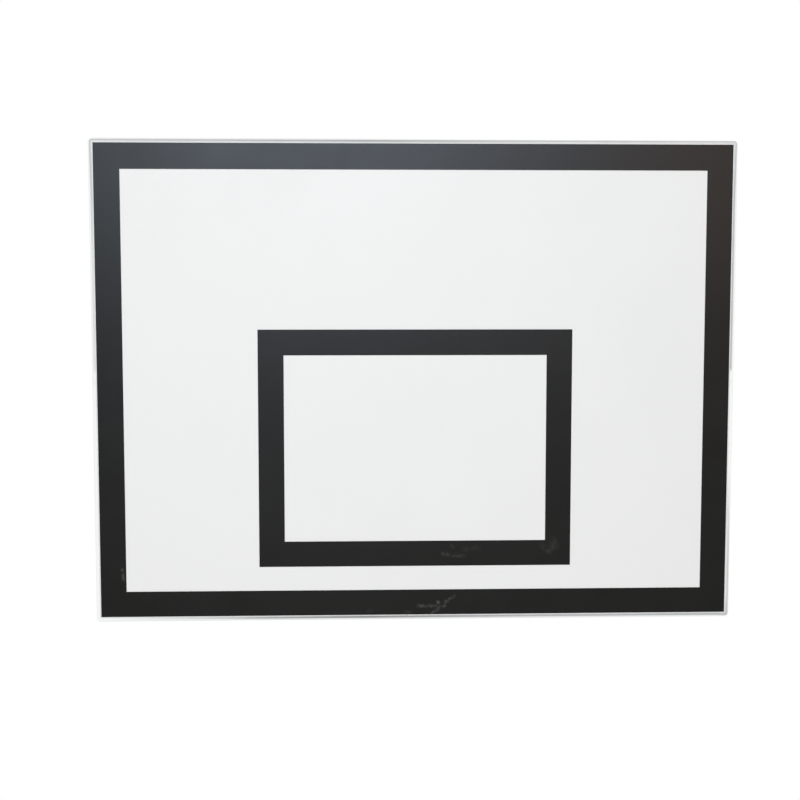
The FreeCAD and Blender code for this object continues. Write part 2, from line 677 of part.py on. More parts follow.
def fixing_tab(name, across, up, turn):
    label = f"fixing_tab_{name}"
    body = new_body(label, across, f"{CORE_BACK} + sizes.tab_thickness", up, turn)
    outline = new_sketch(body, f"{label}_outline")
    half_width = "(sizes.tab_width / 2)"
    rectangle(outline, f"-{half_width}", half_width, "0", "sizes.tab_reach")
    plate = pad(body, outline, "sizes.tab_thickness")
    is_free_corner = lambda edge: runs_along(edge, Y_AXIS) and edge.CenterOfMass.z > 0
    round_edges(body, plate, is_free_corner, "sizes.tab_corner_radius")
    screw_hole(body, "0", "sizes.tab_hole")
    return keep(body)


for name, side, level, turn in GUSSETS:
    corner_gusset(name, side, level, turn)
for name, foot_across, foot_up, direction, turn in TABS:
    fixing_tab(name, foot_across, foot_up, turn)


# The screws: round heads on the trim and hexagon heads on the frame, shanks in the core's pilot holes

def round_head(sketch, diameter):
    circle(sketch, "0", "0", diameter)


def hexagon_head(sketch, across_flats):
    corner = f"({across_flats} / sqrt(3))"
    half_side = f"({corner} / 2)"
    flat = f"({across_flats} / 2)"
    polygon(sketch, [
        (corner, "0"), (half_side, flat), (f"-{half_side}", flat),
        (f"-{corner}", "0"), (f"-{half_side}", f"-{flat}"), (half_side, f"-{flat}"),
    ])


def screw(label, size, draw_head):
    """One screw with the underside of its head on its own XZ plane and its shank towards the front."""
    body = new_body(label)
    head_outline = new_sketch(body, f"{label}_head")
    draw_head(head_outline, f"{size}_head")
    head = pad(body, head_outline, f"{size}_head_height")
    head.Reversed = True
    shank_outline = new_sketch(body, f"{label}_shank")
    circle(shank_outline, "0", "0", f"{size}_diameter")
    pad(body, shank_outline, f"{size}_length")
    return body


def screw_group(label, size, draw_head, places, seat):
    pattern = screw(f"{label}_pattern", size, draw_head)
    screws = []
    for across, up in places:
        link = doc.addObject("App::Link", f"{label}_item")
        link.LinkedObject = pattern
        for axis, expression in (("x", across), ("y", seat), ("z", up)):
            link.setExpression(f"Placement.Base.{axis}", expression)
        screws.append(link)
    group = doc.addObject("Part::Compound", label)
    group.Label = label
    group.Links = screws
    doc.recompute()
    return keep(group)


TRIM_BACK = f"{CORE_BACK} + sizes.trim_wall"
TAB_BACK = f"{CORE_BACK} + sizes.tab_thickness"
ALL_TRIM_SCREWS = UPPER_TRIM_SCREWS + LOWER_TRIM_SCREWS
screw_group("trim_screws", "sizes.trim_screw", round_head, ALL_TRIM_SCREWS, TRIM_BACK)
screw_group("panel_screws", "sizes.panel_screw", hexagon_head, PANEL_SCREWS, TAB_BACK)

# Check every object, then write each piece in place
doc.recompute()
for feature in doc.Objects:
    if "Invalid" in feature.State or "Error" in feature.State:
        raise RuntimeError(f"{feature.Label} failed: {feature.State}")
for node in nodes:
    if node.Shape.isNull() or not node.Shape.isValid():
        raise RuntimeError(f"{node.Label} has no valid shape")

os.makedirs("parts", exist_ok=True)
for node in nodes:
    node.Shape.exportStep(f"parts/{node.Label}.step")
    print(node.Label, len(node.Shape.Solids), round(node.Shape.Volume))
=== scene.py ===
import math
import bmesh
import bpy
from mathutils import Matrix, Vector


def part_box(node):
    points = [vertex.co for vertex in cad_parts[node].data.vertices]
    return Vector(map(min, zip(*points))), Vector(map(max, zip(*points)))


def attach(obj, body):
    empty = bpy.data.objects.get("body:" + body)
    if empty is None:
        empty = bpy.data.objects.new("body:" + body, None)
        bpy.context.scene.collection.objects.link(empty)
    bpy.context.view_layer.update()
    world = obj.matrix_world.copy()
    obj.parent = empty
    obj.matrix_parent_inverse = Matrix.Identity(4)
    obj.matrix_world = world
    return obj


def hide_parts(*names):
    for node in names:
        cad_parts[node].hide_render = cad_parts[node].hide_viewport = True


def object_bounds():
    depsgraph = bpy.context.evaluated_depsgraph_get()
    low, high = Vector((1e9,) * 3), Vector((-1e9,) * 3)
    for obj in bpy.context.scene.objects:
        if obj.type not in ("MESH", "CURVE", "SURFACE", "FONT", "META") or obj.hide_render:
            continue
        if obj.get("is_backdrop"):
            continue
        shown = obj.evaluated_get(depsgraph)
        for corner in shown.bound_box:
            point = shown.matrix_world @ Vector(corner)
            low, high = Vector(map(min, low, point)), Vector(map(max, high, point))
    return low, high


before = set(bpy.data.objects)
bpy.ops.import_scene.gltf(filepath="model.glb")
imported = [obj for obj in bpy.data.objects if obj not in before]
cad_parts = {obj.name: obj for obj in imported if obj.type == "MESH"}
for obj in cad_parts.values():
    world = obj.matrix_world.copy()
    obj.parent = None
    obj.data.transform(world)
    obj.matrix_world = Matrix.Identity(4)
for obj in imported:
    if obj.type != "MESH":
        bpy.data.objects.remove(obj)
cad_low, cad_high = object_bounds()


# The plywood core: a birch sheet, sanded and sealed, that carries everything else.
# Only its back is seen, between the tubes, with the outer veneer's grain running across the board.

def paint(red, green, blue):
    """A colour as it looks on a screen, 0 to 255, turned into the light that a shader works in."""
    shares = [level / 255 for level in (red, green, blue)]
    light = [s / 12.92 if s <= 0.04045 else ((s + 0.055) / 1.055) ** 2.4 for s in shares]
    return (*light, 1.0)


def new_finish(name):
    """A new material, with its node tree and its shader."""
    material = bpy.data.materials.new(name)
    material.use_nodes = True
    tree = material.node_tree
    return material, tree, tree.nodes["Principled BSDF"]


def add(tree, kind, inputs=(), **settings):
    """A node with its settings; an input is a plain value or the output that it is linked to."""
    made = tree.nodes.new(kind)
    for name, setting in settings.items():
        setattr(made, name, setting)
    for socket, value in dict(inputs).items():
        if isinstance(value, bpy.types.NodeSocket):
            tree.links.new(value, made.inputs[socket])
        else:
            made.inputs[socket].default_value = value
    return made


def place(tree, scale=(1, 1, 1), location=(0, 0, 0), rotation=(0, 0, 0)):
    """Where a point lies on the board, in metres, with the scale, shift and turn of a pattern."""
    coordinates = add(tree, "ShaderNodeTexCoord").outputs["Object"]
    settings = {"Vector": coordinates, "Scale": scale, "Location": location, "Rotation": rotation}
    return add(tree, "ShaderNodeMapping", settings).outputs["Vector"]


def noise(tree, where, scale=1.0, detail=2.0, roughness=0.5, distortion=0.0):
    """A cloudy pattern from 0 to 1."""
    settings = {"Scale": scale, "Detail": detail, "Roughness": roughness, "Distortion": distortion}
    return add(tree, "ShaderNodeTexNoise", {"Vector": where, **settings}).outputs["Fac"]


def spread(tree, value, low, high, to_low=0.0, to_high=1.0):
    """The stretch of a value from low to high, spread over to_low to to_high and held between them."""
    settings = {"Value": value, "From Min": low, "From Max": high, "To Min": to_low, "To Max": to_high}
    return add(tree, "ShaderNodeMapRange", settings).outputs["Result"]


def reckon(tree, operation, first, second=0.0):
    """A sum with one or two numbers."""
    return add(tree, "ShaderNodeMath", {0: first, 1: second}, operation=operation).outputs["Value"]


def blend(tree, share, first, second):
    """The first colour with a share of the second mixed in."""
    # a Mix node has sockets of the same names for each kind of value, so they are picked by number
    settings = {0: share, 6: first, 7: second}
    return add(tree, "ShaderNodeMix", settings, data_type="RGBA").outputs[2]


def coat(tree, shader, colour, roughness):
    """Give a shader the colour and the roughness that its nodes have worked out."""
    tree.links.new(colour, shader.inputs["Base Color"])
    tree.links.new(roughness, shader.inputs["Roughness"])


def emboss(tree, shader, height, depth):
    """Raise a shader's surface by a pattern, up to a depth in metres."""
    bump = add(tree, "ShaderNodeBump", {"Height": height, "Distance": depth})
    tree.links.new(bump.outputs["Normal"], shader.inputs["Normal"])


def dress(material, *names):
    """Give CAD nodes a material in place of their own."""
    for name in names:
        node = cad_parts[name]
        node.data.materials.clear()
        node.data.materials.append(material)


PALE_BIRCH = paint(216, 184, 141)
DEEP_BIRCH = paint(186, 145, 98)
FIBRE_BROWN = paint(166, 124, 80)
PORE_BROWN = paint(134, 95, 58)
KNOT_BROWN = paint(96, 60, 34)
GROWTH_RINGS = 26.0
RING_WANDER = 0.5
LATE_WOOD_CURVE = 2.2
FIBRE_DEPTH = 0.0002

plywood, tree, shader = new_finish("plywood")
veneer_place = place(tree, scale=(0.5, 0.0, 3.2))
veneer = noise(tree, veneer_place, scale=1.7, detail=3.0, roughness=0.45, distortion=0.25)
wander = noise(tree, place(tree, scale=(9.0, 0.0, 160.0)), detail=3.0, roughness=0.6)
rings = reckon(tree, "MULTIPLY", veneer, GROWTH_RINGS)
rings = reckon(tree, "ADD", rings, reckon(tree, "MULTIPLY", wander, RING_WANDER))
through_ring = reckon(tree, "FRACT", rings)
late_wood = reckon(tree, "POWER", through_ring, LATE_WOOD_CURVE)
ring_end = spread(tree, through_ring, 0.9, 1.0, to_low=1.0, to_high=0.0)
figure = spread(tree, reckon(tree, "MULTIPLY", late_wood, ring_end), 0.0, 0.8, to_low=0.08, to_high=0.85)
fibre = noise(tree, place(tree, scale=(8.0, 8.0, 620.0)), detail=3.0, roughness=0.6)
pores = noise(tree, place(tree, scale=(55.0, 55.0, 1500.0)))
knot_place = place(tree, scale=(0.6, 0.0, 1.0), location=(0.37, 0.0, 0.21))
from_knot = add(tree, "ShaderNodeTexVoronoi", {"Vector": knot_place, "Scale": 2.6}).outputs["Distance"]
knot = spread(tree, from_knot, 0.012, 0.045, to_low=1.0, to_high=0.0)
wood_colour = blend(tree, figure, PALE_BIRCH, DEEP_BIRCH)
wood_colour = blend(tree, spread(tree, fibre, 0.52, 0.82, to_high=0.5), wood_colour, FIBRE_BROWN)
wood_colour = blend(tree, spread(tree, pores, 0.64, 0.72, to_high=0.4), wood_colour, PORE_BROWN)
wood_colour = blend(tree, knot, wood_colour, KNOT_BROWN)
coat(tree, shader, wood_colour, spread(tree, fibre, 0.3, 0.8, to_low=0.42, to_high=0.6))
emboss(tree, shader, fibre, FIBRE_DEPTH)
dress(plywood, "board_core")


# The white face: a sheet of laminate bonded to the front of the core.
# Its satin surface has the faint ripple of the press plate and a few dull smudges from the ball.

FACE_WHITE = paint(235, 235, 235)
SMUDGE_WHITE = paint(233, 233, 233)
FACE_GLOSS = 0.06
PRESS_RIPPLE_DEPTH = 0.00002

white_laminate, tree, shader = new_finish("white_laminate")
smudges = noise(tree, place(tree), scale=3.2, detail=4.0, roughness=0.6, distortion=0.4)
face_colour = blend(tree, spread(tree, smudges, 0.48, 0.78), FACE_WHITE, SMUDGE_WHITE)
coat(tree, shader, face_colour, spread(tree, smudges, 0.3, 0.8, to_low=0.36, to_high=0.44))
shader.inputs["Specular IOR Level"].default_value = FACE_GLOSS
emboss(tree, shader, noise(tree, place(tree), scale=240.0, detail=1.0), PRESS_RIPPLE_DEPTH)
dress(white_laminate, "face_sheet")


# The black lines: strips of satin film, 48 mm wide, laid on the face and butted at the corners.
# Balls and hands have left pale rubbed streaks on the lower lines, each with a ragged edge.

FILM_BLACK = paint(8, 7, 5)
FILM_WORN = paint(14, 13, 11)
RUBBED_GREY = paint(118, 116, 114)
FILM_GLOSS = 0.17
FILM_GRAIN_DEPTH = 0.000012
RAGGED_EDGE = 0.009
MILLIMETRE = 0.001
STREAKS = (
    # start and end, each across from the middle of the board and up from its bottom edge, and half width,
    # all in millimetres, then how pale the streak is
    ((6, 25), (20, 25), 5, 0.50),
    ((22, 25), (39, 25), 5, 0.34),
    ((43, 31), (45, 31), 5, 0.62),
    ((31, 10), (45, 20), 5, 0.42),
    ((45, 21), (55, 25), 5, 0.48),
    ((57, 32), (60, 33), 6, 0.30),
    ((64, 37), (75, 44), 5, 0.26),
    ((-22, 13), (-8, 14), 5, 0.12),
    ((-90, 16), (-77, 17), 5, 0.10),
    ((69, 139), (71, 138), 6, 0.22),
    ((52, 125), (70, 121), 6, 0.20),
    ((76, 121), (92, 121), 6, 0.14),
    ((94, 133), (121, 137), 10, 0.07),
    ((253, 131), (264, 139), 13, 0.14),
    ((261, 150), (264, 139), 11, 0.12),
    ((239, 140), (253, 131), 10, 0.08),
    ((-551, 98), (-549, 80), 5, 0.42),
)
LINE_SIDES = ("top", "bottom", "left", "right")
line_names = [f"{figure}_line_{side}" for figure in ("border", "target") for side in LINE_SIDES]


def on_face(across, up):
    """A place on the face, from millimetres across from the middle and up from the bottom edge."""
    return (across * MILLIMETRE, 0.0, cad_low.z + up * MILLIMETRE)


def new_group(name, kind, takes, gives):
    """A node group with named inputs and outputs: the group, what it is given, and its result node."""
    group = bpy.data.node_groups.new(name, kind)
    for direction, sockets in (("INPUT", takes), ("OUTPUT", gives)):
        for socket, socket_kind in sockets.items():
            group.interface.new_socket(socket, in_out=direction, socket_type=f"NodeSocket{socket_kind}")
    return group, add(group, "NodeGroupInput").outputs, add(group, "NodeGroupOutput")


def vector_sum(tree, operation, first, second):
    """A sum with two vectors, which gives a number for DOT_PRODUCT and DISTANCE."""
    made = add(tree, "ShaderNodeVectorMath", {0: first, 1: second}, operation=operation)
    return made.outputs["Value" if operation in ("DOT_PRODUCT", "DISTANCE") else "Vector"]


def streak_group():
    """A mask that is 1 on the line between two points and fades to 0 at the streak's half width."""
    group, given, result = new_group("rubbed_streak", "ShaderNodeTree", {
        "Place": "Vector", "Start": "Vector", "End": "Vector", "Half Width": "Float",
    }, {"Mask": "Float"})
    line = vector_sum(group, "SUBTRACT", given["End"], given["Start"])
    from_start = vector_sum(group, "SUBTRACT", given["Place"], given["Start"])
    along_line = vector_sum(group, "DOT_PRODUCT", from_start, line)
    whole_line = vector_sum(group, "DOT_PRODUCT", line, line)
    share = spread(group, reckon(group, "DIVIDE", along_line, whole_line), 0.0, 1.0)
    nearest = vector_sum(group, "MULTIPLY", line, share)
    distance = vector_sum(group, "DISTANCE", from_start, nearest)
    fade = add(group, "ShaderNodeMapRange", {
        "Value": distance, "From Max": given["Half Width"], "To Min": 1.0, "To Max": 0.0,
    }, interpolation_type="SMOOTHSTEP")
    group.links.new(fade.outputs["Result"], result.inputs["Mask"])
    return group


black_film, tree, shader = new_finish("black_film")
flat_place = place(tree, scale=(1.0, 0.0, 1.0))
raggedness = add(tree, "ShaderNodeTexNoise", {
    "Vector": flat_place, "Scale": 160.0, "Detail": 4.0, "Roughness": 0.7,
}).outputs["Color"]
ragged_shift = vector_sum(tree, "SUBTRACT", raggedness, (0.5, 0.5, 0.5))
ragged_shift = vector_sum(tree, "MULTIPLY", ragged_shift, (RAGGED_EDGE, 0.0, RAGGED_EDGE))
ragged_place = vector_sum(tree, "ADD", flat_place, ragged_shift)
rubbed_streak = streak_group()
streaked = 0.0
for start, end, half_width, paleness in STREAKS:
    streak = add(tree, "ShaderNodeGroup", {
        "Place": ragged_place, "Start": on_face(*start), "End": on_face(*end),
        "Half Width": half_width * MILLIMETRE,
    }, node_tree=rubbed_streak)
    streaked = reckon(tree, "MAXIMUM", streaked, reckon(tree, "MULTIPLY", streak.outputs["Mask"], paleness))
grit = spread(tree, noise(tree, flat_place, scale=420.0, detail=3.0, roughness=0.7), 0.35, 0.65, to_low=0.3)
patches = spread(tree, noise(tree, flat_place, scale=110.0), 0.36, 0.62, to_low=0.15)
streaked = reckon(tree, "MULTIPLY", streaked, reckon(tree, "MULTIPLY", grit, patches))
hairlines = noise(tree, place(tree, scale=(30.0, 0.0, 500.0), rotation=(0.0, 0.5, 0.0)))
wear = noise(tree, place(tree), scale=7.0, detail=5.0, roughness=0.65, distortion=0.5)
film_colour = blend(tree, spread(tree, wear, 0.45, 0.8), FILM_BLACK, FILM_WORN)
film_colour = blend(tree, spread(tree, hairlines, 0.72, 0.8, to_high=0.08), film_colour, RUBBED_GREY)
film_colour = blend(tree, streaked, film_colour, RUBBED_GREY)
coat(tree, shader, film_colour, spread(tree, wear, 0.3, 0.8, to_low=0.27, to_high=0.35))
shader.inputs["Specular IOR Level"].default_value = FILM_GLOSS
emboss(tree, shader, noise(tree, place(tree), scale=900.0, detail=1.0), FILM_GRAIN_DEPTH)
dress(black_film, *line_names)


# The edge trim: a drawn aluminium channel, bent round the corners in two halves that meet at mid-height.
# Drawing has left fine lines along it. Its front carries painted highlights on the inner lip along top and
# bottom, on the front bend, and over the whole lip low on both sides and, less, high on the left. Painted
# shade greys the side wall and the bottom, and top and bottom are a darker grey near the middle.

# painted shade: the side wall, fading into the rounded front edge, is a darker grey than the front lip
WALL_SHADE_GREY = paint(174, 175, 177)
LIP_GREY = paint(203, 204, 205)
# painted highlight on the inner part of the front lip, along top and bottom
LIP_HIGHLIGHT = paint(245, 246, 246)
# painted highlight on the front bend, and over the whole lip low on both sides and high on the left
HIGHLIGHT_BRIGHT = paint(250, 251, 251)
# painted shade along the bottom; the same grey also gives the random clouds on the trim
SHADE_AND_CLOUD_GREY = paint(180, 181, 182)
DRAW_GREY = paint(168, 169, 171)
# a darker grey near the middle of top and bottom
MIDDLE_DARK_GREY = paint(136, 137, 138)
DRAW_LINE_DEPTH = 0.00003
CORNER_RADIUS = 0.0075
LIP_DEPTH = 0.0036
# how strong the painted highlight over the whole lip is high on the left
HIGH_HIGHLIGHT_SHARE = 0.55
# from the outer edge inwards
BRIGHT_STARTS = 0.0040
BRIGHT_IS_FULL = 0.0062
# the painted highlight along the front bend: its width, its fade, and how much further in it reaches on the
# sides and the bottom
BEND_HIGHLIGHT_WIDTH = 0.0013
BEND_FADE = 0.0018
SIDES_HIGHLIGHT_WIDER = 0.0014
BOTTOM_HIGHLIGHT_WIDER = 0.0008
# up from mid-height, where the low part of the sides starts
LOW_STARTS = 0.022
LOW_FADE = 0.004
# past the corner, below zero along top and bottom: where a painted highlight or painted shade starts and
# where it is full or gone
HIGH_SIDES = (0.0, 0.1)
LOW_LEFT_HIGHLIGHT = (-0.32, -0.02)
LOW_RIGHT_HIGHLIGHT = (0.13, 0.28)
HIGH_LEFT_HIGHLIGHT = (0.04, 0.2)
BOTTOM = (0.0, -0.02)
BOTTOM_SHADE = (-0.02, 0.04)
# across from the middle
DARK_MIDDLE = -0.09
DARK_REACH = 0.3


def pick(tree, share, first, second):
    """The first number with a share of the second mixed in."""
    return add(tree, "ShaderNodeMix", {0: share, 2: first, 3: second}).outputs[0]


trim_aluminium, tree, shader = new_finish("trim_aluminium")
position = add(tree, "ShaderNodeSeparateXYZ", {0: place(tree)}).outputs
from_side = reckon(tree, "SUBTRACT", cad_high.x, reckon(tree, "ABSOLUTE", position["X"]))
from_level_edge = reckon(tree, "SUBTRACT", cad_high.z, reckon(tree, "ABSOLUTE", position["Z"]))

# how far a point is past the corner's diagonal: above zero on the sides, below it along top and bottom
past_corner = reckon(tree, "SUBTRACT", from_level_edge, from_side)

# how far a point is from the outer edge, which is rounded at the corners
past_bend_centre = []
for distance in (from_side, from_level_edge):
    past = reckon(tree, "MAXIMUM", reckon(tree, "SUBTRACT", CORNER_RADIUS, distance), 0.0)
    past_bend_centre.append(reckon(tree, "POWER", past, 2.0))
from_bend_centre = reckon(tree, "SQRT", reckon(tree, "ADD", *past_bend_centre))
from_edge = reckon(tree, "SUBTRACT", CORNER_RADIUS, from_bend_centre)

trim_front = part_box("edge_trim_lower")[0].y
is_front = spread(tree, position["Y"], trim_front, trim_front + LIP_DEPTH, to_low=1.0, to_high=0.0)
is_low = spread(tree, position["Z"], LOW_STARTS + LOW_FADE, LOW_STARTS - LOW_FADE)
is_right = reckon(tree, "GREATER_THAN", position["X"], 0.0)
is_upright = reckon(tree, "GREATER_THAN", past_corner, 0.0)
is_bottom = reckon(tree, "MULTIPLY", is_low, spread(tree, past_corner, *BOTTOM))
# painted highlight over the whole lip, low on both sides and, less, high on the left
low_left_highlight = spread(tree, past_corner, *LOW_LEFT_HIGHLIGHT)
low_right_highlight = spread(tree, past_corner, *LOW_RIGHT_HIGHLIGHT)
low_highlight = pick(tree, is_right, low_left_highlight, low_right_highlight)
high_left_highlight = spread(tree, past_corner, *HIGH_LEFT_HIGHLIGHT, to_high=HIGH_HIGHLIGHT_SHARE)
side_highlight = pick(tree, is_low, pick(tree, is_right, high_left_highlight, 0.0), low_highlight)
side_share = pick(tree, is_low, spread(tree, past_corner, *HIGH_SIDES), low_highlight)

# painted highlight on the inner lip, taken off the sides, where the bend carries it instead
inner_lip = spread(tree, from_edge, BRIGHT_STARTS, BRIGHT_IS_FULL)
inner_lip = reckon(tree, "MAXIMUM", reckon(tree, "SUBTRACT", inner_lip, side_share), 0.0)
# painted highlight along the front bend
past_highlight = reckon(tree, "SUBTRACT", from_edge, reckon(tree, "MULTIPLY", side_share, SIDES_HIGHLIGHT_WIDER))
past_highlight = reckon(tree, "SUBTRACT", past_highlight, reckon(tree, "MULTIPLY", is_bottom, BOTTOM_HIGHLIGHT_WIDER))
bend_highlight = spread(tree, past_highlight, BEND_HIGHLIGHT_WIDTH, BEND_HIGHLIGHT_WIDTH + BEND_FADE, to_low=1.0, to_high=0.0)
trim_highlight = reckon(tree, "MAXIMUM", bend_highlight, side_highlight)
# painted shade along the bottom of the front
bottom_shade = spread(tree, past_corner, *BOTTOM_SHADE, to_low=0.8, to_high=0.0)
# top and bottom of the front are a darker grey near the middle, more at the bottom
from_dark_middle = reckon(tree, "ABSOLUTE", reckon(tree, "SUBTRACT", position["X"], DARK_MIDDLE))
darker_middle = spread(tree, from_dark_middle, 0.0, DARK_REACH, to_low=1.0, to_high=0.0)
darker_middle_strength = spread(tree, is_low, 0.0, 1.0, to_low=0.4, to_high=0.85)
darker_middle = reckon(tree, "MULTIPLY", darker_middle, reckon(tree, "MULTIPLY", darker_middle_strength, is_front))
clouds = noise(tree, place(tree), scale=26.0, detail=4.0, roughness=0.6, distortion=0.6)
level_lines = noise(tree, place(tree, scale=(3.0, 1400.0, 1400.0)), detail=3.0, roughness=0.6)
upright_lines = noise(tree, place(tree, scale=(1400.0, 1400.0, 3.0)), detail=3.0, roughness=0.6)
draw_lines = pick(tree, is_upright, level_lines, upright_lines)

# the side wall's painted shade fades in behind the front lip
trim_colour = blend(tree, is_front, WALL_SHADE_GREY, LIP_GREY)
trim_colour = blend(tree, reckon(tree, "MULTIPLY", inner_lip, is_front), trim_colour, LIP_HIGHLIGHT)
trim_colour = blend(tree, reckon(tree, "MULTIPLY", is_low, bottom_shade), trim_colour, SHADE_AND_CLOUD_GREY)
trim_colour = blend(tree, darker_middle, trim_colour, MIDDLE_DARK_GREY)
trim_colour = blend(tree, spread(tree, clouds, 0.4, 0.8, to_high=0.2), trim_colour, SHADE_AND_CLOUD_GREY)
trim_colour = blend(tree, spread(tree, draw_lines, 0.45, 0.75, to_high=0.35), trim_colour, DRAW_GREY)
# the painted highlights go on last, on the front only
trim_colour = blend(tree, reckon(tree, "MULTIPLY", trim_highlight, is_front), trim_colour, HIGHLIGHT_BRIGHT)
coat(tree, shader, trim_colour, spread(tree, draw_lines, 0.3, 0.8, to_low=0.28, to_high=0.48))
shader.inputs["Metallic"].default_value = 1.0
emboss(tree, shader, draw_lines, DRAW_LINE_DEPTH)
dress(trim_aluminium, "edge_trim_upper", "edge_trim_lower")


# The trim screws: sixteen zinc-plated pan heads with a cross recess, driven from behind.
# Each goes through the trim's wide rear lip into the core and stands at its own turn.

FULL_TURN = 2 * math.pi
QUARTER_TURN = FULL_TURN / 4
ROUND_STEP = 0.4
RECESS_HALF_WIDTH = 0.0005
RECESS_REACH = 0.0021
RECESS_DEPTH = 0.0012
PAN_RADIUS = 0.0035
PAN_HEIGHT = 0.0022
# the head's outline from its underside up, as shares of the radius and of the height
PAN_OUTLINE = ((1.0, 0.0), (1.0, 0.45), (0.93, 0.72), (0.78, 0.92), (0.7, 1.0))
PAN_SEED = 7
SAME_POINT = 0.000001


def lofted(name, rings, floor_height):
    """A closed mesh about +Y from rings of points (radius, angle) at rising heights, shut at both ends."""
    mesh = bpy.data.meshes.new(name)
    shape = bmesh.new()
    loops = []
    for height, points in rings:
        loop = [shape.verts.new((r * math.cos(turn), height, r * math.sin(turn))) for r, turn in points]
        loops.append(loop)
    count = len(loops[0])
    for lower, upper in zip(loops, loops[1:]):
        for index in range(count):
            after = (index + 1) % count
            shape.faces.new((lower[index], lower[after], upper[after], upper[index]))
    for loop, height in ((loops[0], rings[0][0]), (loops[-1], floor_height)):
        middle = shape.verts.new((0.0, height, 0.0))
        for index in range(count):
            shape.faces.new((loop[index], loop[(index + 1) % count], middle))
    bmesh.ops.recalc_face_normals(shape, faces=shape.faces)
    shape.to_mesh(mesh)
    shape.free()
    return mesh


def pan_head():
    """A pan head with a cross recess, its underside at zero."""
    arm_corner = math.atan(RECESS_HALF_WIDTH / RECESS_REACH)
    steps = (-arm_corner, 0.0, arm_corner, ROUND_STEP, QUARTER_TURN / 2, QUARTER_TURN - ROUND_STEP)
    turns = [quarter * QUARTER_TURN + step for quarter in range(4) for step in steps]
    recess = []
    for turn in turns:
        from_arm = abs((turn + QUARTER_TURN / 2) % QUARTER_TURN - QUARTER_TURN / 2)
        if from_arm <= arm_corner:
            radius = RECESS_REACH / math.cos(from_arm)
        else:
            radius = RECESS_HALF_WIDTH / math.sin(from_arm)
        recess.append((radius, turn))
    rings = []
    for radius_share, height_share in PAN_OUTLINE:
        rings.append((height_share * PAN_HEIGHT, [(radius_share * PAN_RADIUS, turn) for turn in turns]))
    floor_height = PAN_HEIGHT - RECESS_DEPTH
    rings.append((PAN_HEIGHT, recess))
    rings.append((floor_height, recess))
    return lofted("pan_head_screw", rings, floor_height)


def screws_tree():
    """Geometry Nodes: one screw on each point, turned by its own random angle about the board's normal."""
    group, given, result = new_group("screws_on_points", "GeometryNodeTree", {
        "Points": "Geometry", "Screw": "Object", "Largest Turn": "Float", "Seed": "Int",
        "Finish": "Material",
    }, {"Screws": "Geometry"})
    screw = add(group, "GeometryNodeObjectInfo", {"Object": given["Screw"]})
    # socket 3 is the largest number, and output 1 the number drawn
    angle = add(group, "FunctionNodeRandomValue", {3: given["Largest Turn"], "Seed": given["Seed"]})
    turn = add(group, "FunctionNodeAxisAngleToRotation", {
        "Axis": (0.0, 1.0, 0.0), "Angle": angle.outputs[1],
    })
    stood = add(group, "GeometryNodeInstanceOnPoints", {
        "Points": given["Points"], "Instance": screw.outputs["Geometry"],
        "Rotation": turn.outputs["Rotation"],
    })
    real = add(group, "GeometryNodeRealizeInstances", {"Geometry": stood.outputs["Instances"]})
    coated = add(group, "GeometryNodeSetMaterial", {
        "Geometry": real.outputs["Geometry"], "Material": given["Finish"],
    })
    group.links.new(coated.outputs["Geometry"], result.inputs["Screws"])
    return group


def grown(name, points, edges, group, values):
    """A piece that a Geometry Nodes tree makes from points and edges, turned into a plain mesh."""
    mesh = bpy.data.meshes.new(name)
    mesh.from_pydata(points, edges, [])
    piece = bpy.data.objects.new(name, mesh)
    bpy.context.scene.collection.objects.link(piece)
    modifier = piece.modifiers.new(name, "NODES")
    modifier.node_group = group
    for item in group.interface.items_tree:
        if item.name in values:
            modifier[item.identifier] = values[item.name]
    shown = piece.evaluated_get(bpy.context.evaluated_depsgraph_get())
    piece.data = bpy.data.meshes.new_from_object(shown)
    piece.modifiers.clear()
    return piece


def screw_seats(node, head_height):
    """Where the CAD screws of a group sit: the middle of each loose solid, at the underside of its head."""
    shape = bmesh.new()
    shape.from_mesh(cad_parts[node].data)
    bmesh.ops.remove_doubles(shape, verts=shape.verts, dist=SAME_POINT)
    waiting = set(shape.verts)
    seats = []
    while waiting:
        found = [waiting.pop()]
        for vertex in found:
            for edge in vertex.link_edges:
                other = edge.other_vert(vertex)
                if other in waiting:
                    waiting.remove(other)
                    found.append(other)
        xs = [vertex.co.x for vertex in found]
        ys = [vertex.co.y for vertex in found]
        zs = [vertex.co.z for vertex in found]
        seats.append(((min(xs) + max(xs)) / 2, max(ys) - head_height, (min(zs) + max(zs)) / 2))
    shape.free()
    return sorted(seats)


ZINC_BRIGHT = paint(206, 209, 213)
ZINC_DULL = paint(172, 174, 176)

zinc_plating, tree, shader = new_finish("zinc_plating")
plating = noise(tree, place(tree), scale=420.0, detail=4.0, roughness=0.6)
plating_colour = blend(tree, spread(tree, plating, 0.4, 0.75), ZINC_BRIGHT, ZINC_DULL)
coat(tree, shader, plating_colour, spread(tree, plating, 0.3, 0.8, to_low=0.24, to_high=0.4))
shader.inputs["Metallic"].default_value = 1.0

pan_screw = bpy.data.objects.new("pan_head_screw", pan_head())
screws_on_points = screws_tree()
trim_screws = grown("trim_screw_heads", screw_seats("trim_screws", PAN_HEIGHT), [], screws_on_points, {
    "Screw": pan_screw, "Largest Turn": FULL_TURN, "Seed": PAN_SEED, "Finish": zinc_plating,
})
bpy.data.objects.remove(pan_screw)
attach(trim_screws, "root")
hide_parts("trim_screws")


# The back frame: square steel tube, mitred at the corners, welded and then dipped in zinc.
# The zinc has frozen in flat crystals of every grey, with a dull bloom where it lay wet.

